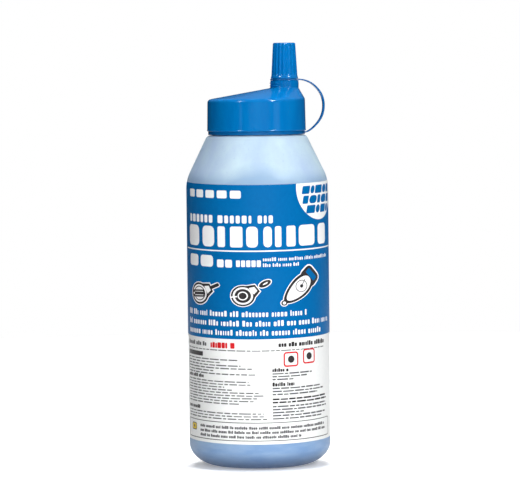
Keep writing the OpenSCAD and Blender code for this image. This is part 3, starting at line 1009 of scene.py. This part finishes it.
def turned(right, forward, up):
    """Direction or place given as seen from the camera: right, away from the camera and up."""
    c, s = math.cos(VIEW_TURN), math.sin(VIEW_TURN)
    return Vector((right * c + forward * s, -right * s + forward * c, up))


def softbox(name, azimuth, elevation, distance, width, height, radiance, mirrored=True, lights=True):
    """Soft light round the object. The azimuth runs to the right from the camera's side, in degrees.
    The radiance is that of the lamp's face. An unmirrored lamp lights without showing in gloss, and one
    with lights=False only shows in gloss."""
    light = bpy.data.lights.new(name, "AREA")
    light.shape = "RECTANGLE"
    light.size, light.size_y = width, height
    light.energy = radiance * math.pi * width * height
    lamp = bpy.data.objects.new(name, light)
    a, e = math.radians(azimuth), math.radians(elevation)
    away = turned(math.sin(a) * math.cos(e), -math.cos(a) * math.cos(e), math.sin(e))
    lamp.location = MIDDLE + away * distance
    lamp.rotation_mode = "QUATERNION"
    lamp.rotation_quaternion = away.to_track_quat("Z", "Y")
    lamp.visible_glossy = mirrored
    lamp.visible_diffuse = lights
    bpy.context.scene.collection.objects.link(lamp)


def make_world():
    """White behind the object for the camera. For light, a dome that is bright above and dark low down."""
    world = bpy.data.worlds.new("studio")
    bpy.context.scene.world = world
    world.use_nodes = True
    tree = world.node_tree
    tree.nodes.clear()

    def add(kind, **settings):
        node = tree.nodes.new("ShaderNode" + kind)
        for key, value in settings.items():
            setattr(node, key, value)
        return node

    def weighted(direction, low, high, to_low, to_high):
        """Number that goes from to_low to to_high as the way looked turns towards the direction."""
        dot = add("VectorMath", operation="DOT_PRODUCT")
        dot.inputs[1].default_value = direction
        tree.links.new(where.outputs["Generated"], dot.inputs[0])
        span = add("MapRange", interpolation_type="SMOOTHSTEP")
        for key, value in zip(("From Min", "From Max", "To Min", "To Max"), (low, high, to_low, to_high)):
            span.inputs[key].default_value = value
        tree.links.new(dot.outputs["Value"], span.inputs["Value"])
        return span.outputs["Result"]

    where = add("TexCoord")
    height = weighted((0, 0, 1), 0.08, 0.5, DOME_LOW, DOME_HIGH)
    side = weighted(turned(1, 0, 0), -1.0, 0.6, DOME_LEFT, 1.0)
    both = add("Math", operation="MULTIPLY")
    tree.links.new(height, both.inputs[0])
    tree.links.new(side, both.inputs[1])
    room, seen = add("Background"), add("Background")
    tree.links.new(both.outputs["Value"], room.inputs["Strength"])
    room.inputs["Color"].default_value = (0.97, 0.98, 1, 1)
    seen.inputs["Color"].default_value = (1, 1, 1, 1)
    path, mix, out = add("LightPath"), add("MixShader"), add("OutputWorld")
    tree.links.new(path.outputs["Is Camera Ray"], mix.inputs["Fac"])
    tree.links.new(room.outputs["Background"], mix.inputs[1])
    tree.links.new(seen.outputs["Background"], mix.inputs[2])
    tree.links.new(mix.outputs["Shader"], out.inputs["Surface"])


def make_camera():
    """Camera as high as the spout cap, looking slightly down, with a long lens and a slight roll."""
    distance, height = 2.24, 0.246
    aim = turned(0.00137, 0, 0.1385)
    camera = bpy.data.cameras.new("camera")
    camera.lens = 249.9
    camera.sensor_width = 36
    camera.clip_start, camera.clip_end = 0.1, 50
    obj = bpy.data.objects.new("camera", camera)
    obj.location = turned(0, -distance, height)
    roll = Quaternion((0, 0, 1), math.radians(-0.66))
    obj.rotation_mode = "QUATERNION"
    obj.rotation_quaternion = (aim - obj.location).to_track_quat("-Z", "Y") @ roll
    bpy.context.scene.collection.objects.link(obj)
    bpy.context.scene.camera = obj


make_stage()
make_world()
softbox("key", 44, 34, 1.6, 0.22, 0.22, 56)
softbox("key_glint", 44, 42, 1.6, 0.2, 0.7, 16, lights=False)
softbox("key_strip", 48, 0, 1.6, 0.42, 0.4, 0.6)
softbox("left", -42, 34, 1.6, 0.18, 0.18, 48)
softbox("left_glint", -42, 42, 1.6, 0.18, 0.7, 10, lights=False)
softbox("left_strip", -37, 0, 1.6, 0.14, 0.4, 0.6)
softbox("front_fill", 7, 3, 1.7, 1.5, 0.6, 4.5, mirrored=False)
softbox("bounce", 4, -35, 1.1, 1.3, 0.5, 3.9, mirrored=False)
softbox("top_fill", 0, 84, 1.5, 0.9, 0.9, 5.5, mirrored=False)
softbox("right_side", 82, 12, 1.6, 0.3, 0.9, 3.0, mirrored=False)
softbox("back_top", 180, 62, 1.5, 0.8, 0.6, 11.0, mirrored=False)
make_camera()
bpy.context.scene.view_settings.view_transform = "Standard"
